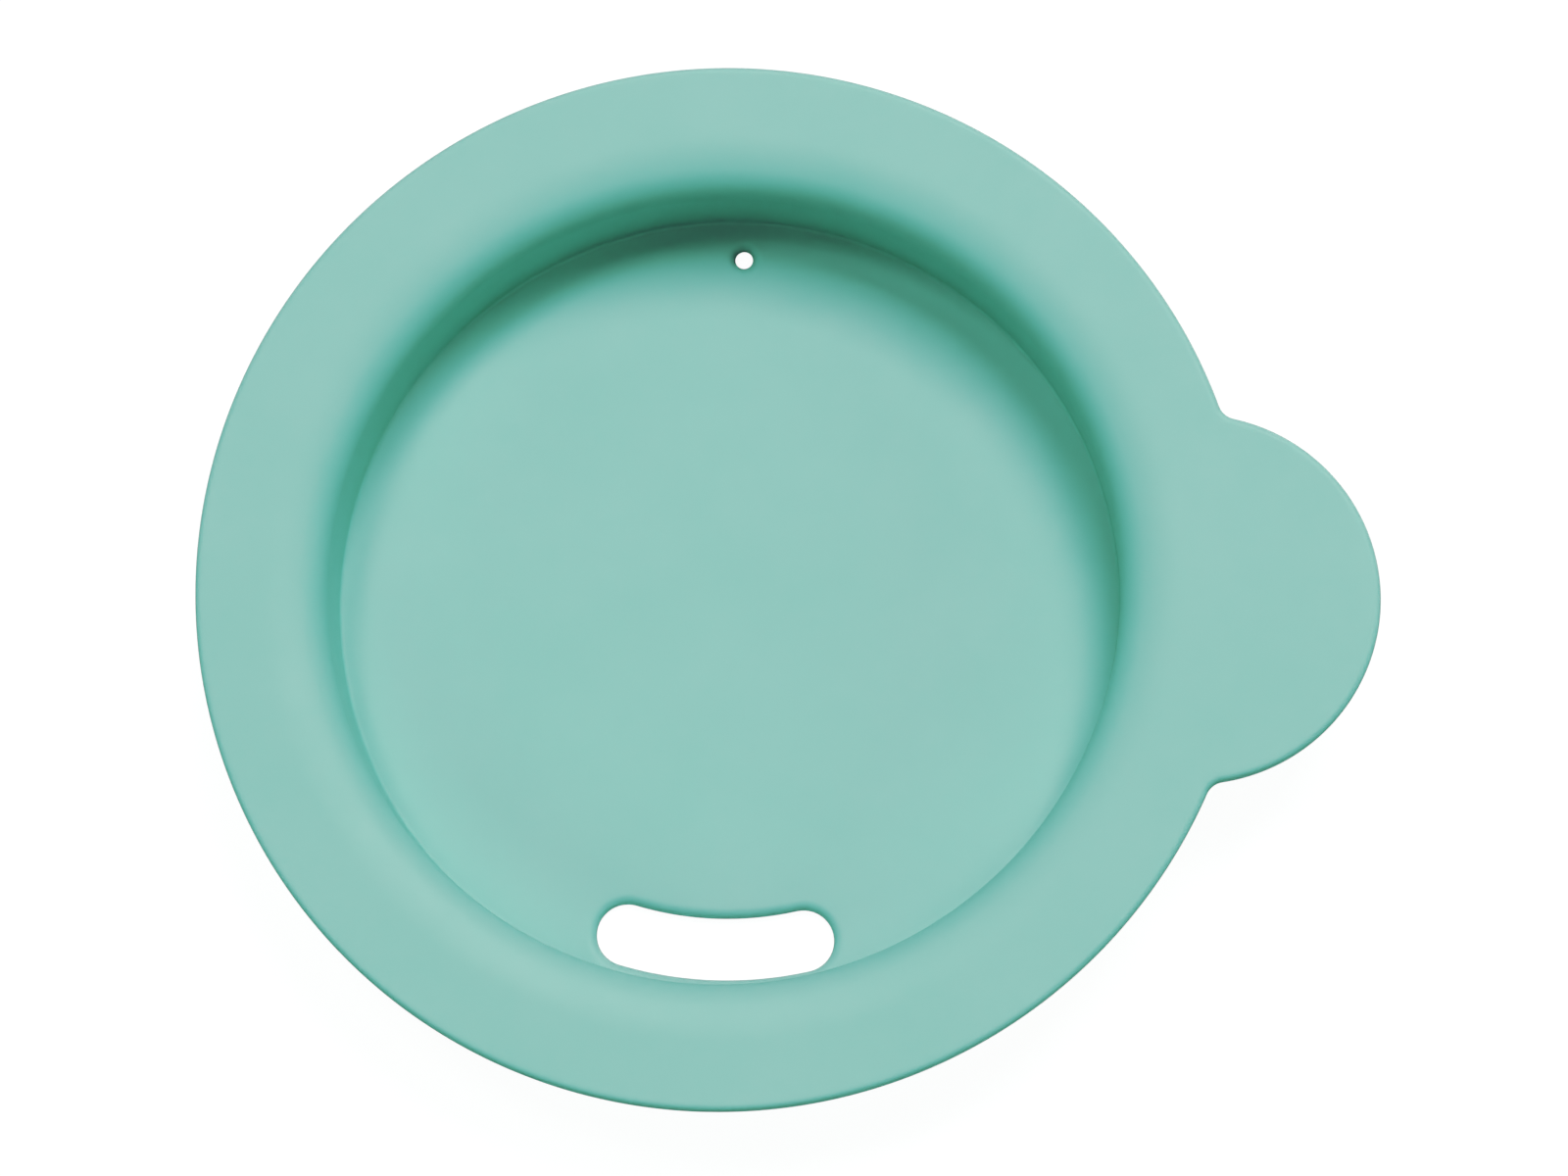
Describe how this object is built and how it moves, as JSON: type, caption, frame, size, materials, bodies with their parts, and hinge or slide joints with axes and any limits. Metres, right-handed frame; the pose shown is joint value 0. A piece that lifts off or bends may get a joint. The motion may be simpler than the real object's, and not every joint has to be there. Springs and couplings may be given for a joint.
{
  "type": "travel cup lid",
  "caption": "Moulded silicone plug lid for a travel cup, with a dished recess, an arc-shaped drinking slot, a vent hole and a round pull tab.",
  "frame": {"origin": "centre of the plug's flat underside, on the axis of the round flange", "axes": "+Z along the lid's axis, out of the cup; +X towards the pull tab; -Y towards the drinking slot, with the vent hole on the +Y side"},
  "size_m": [0.1178, 0.105, 0.0155],
  "materials": {
    "silicone": "matte"
  },
  "bodies": {
    "root": {"lid": "silicone"}
  },
  "joints": []
}
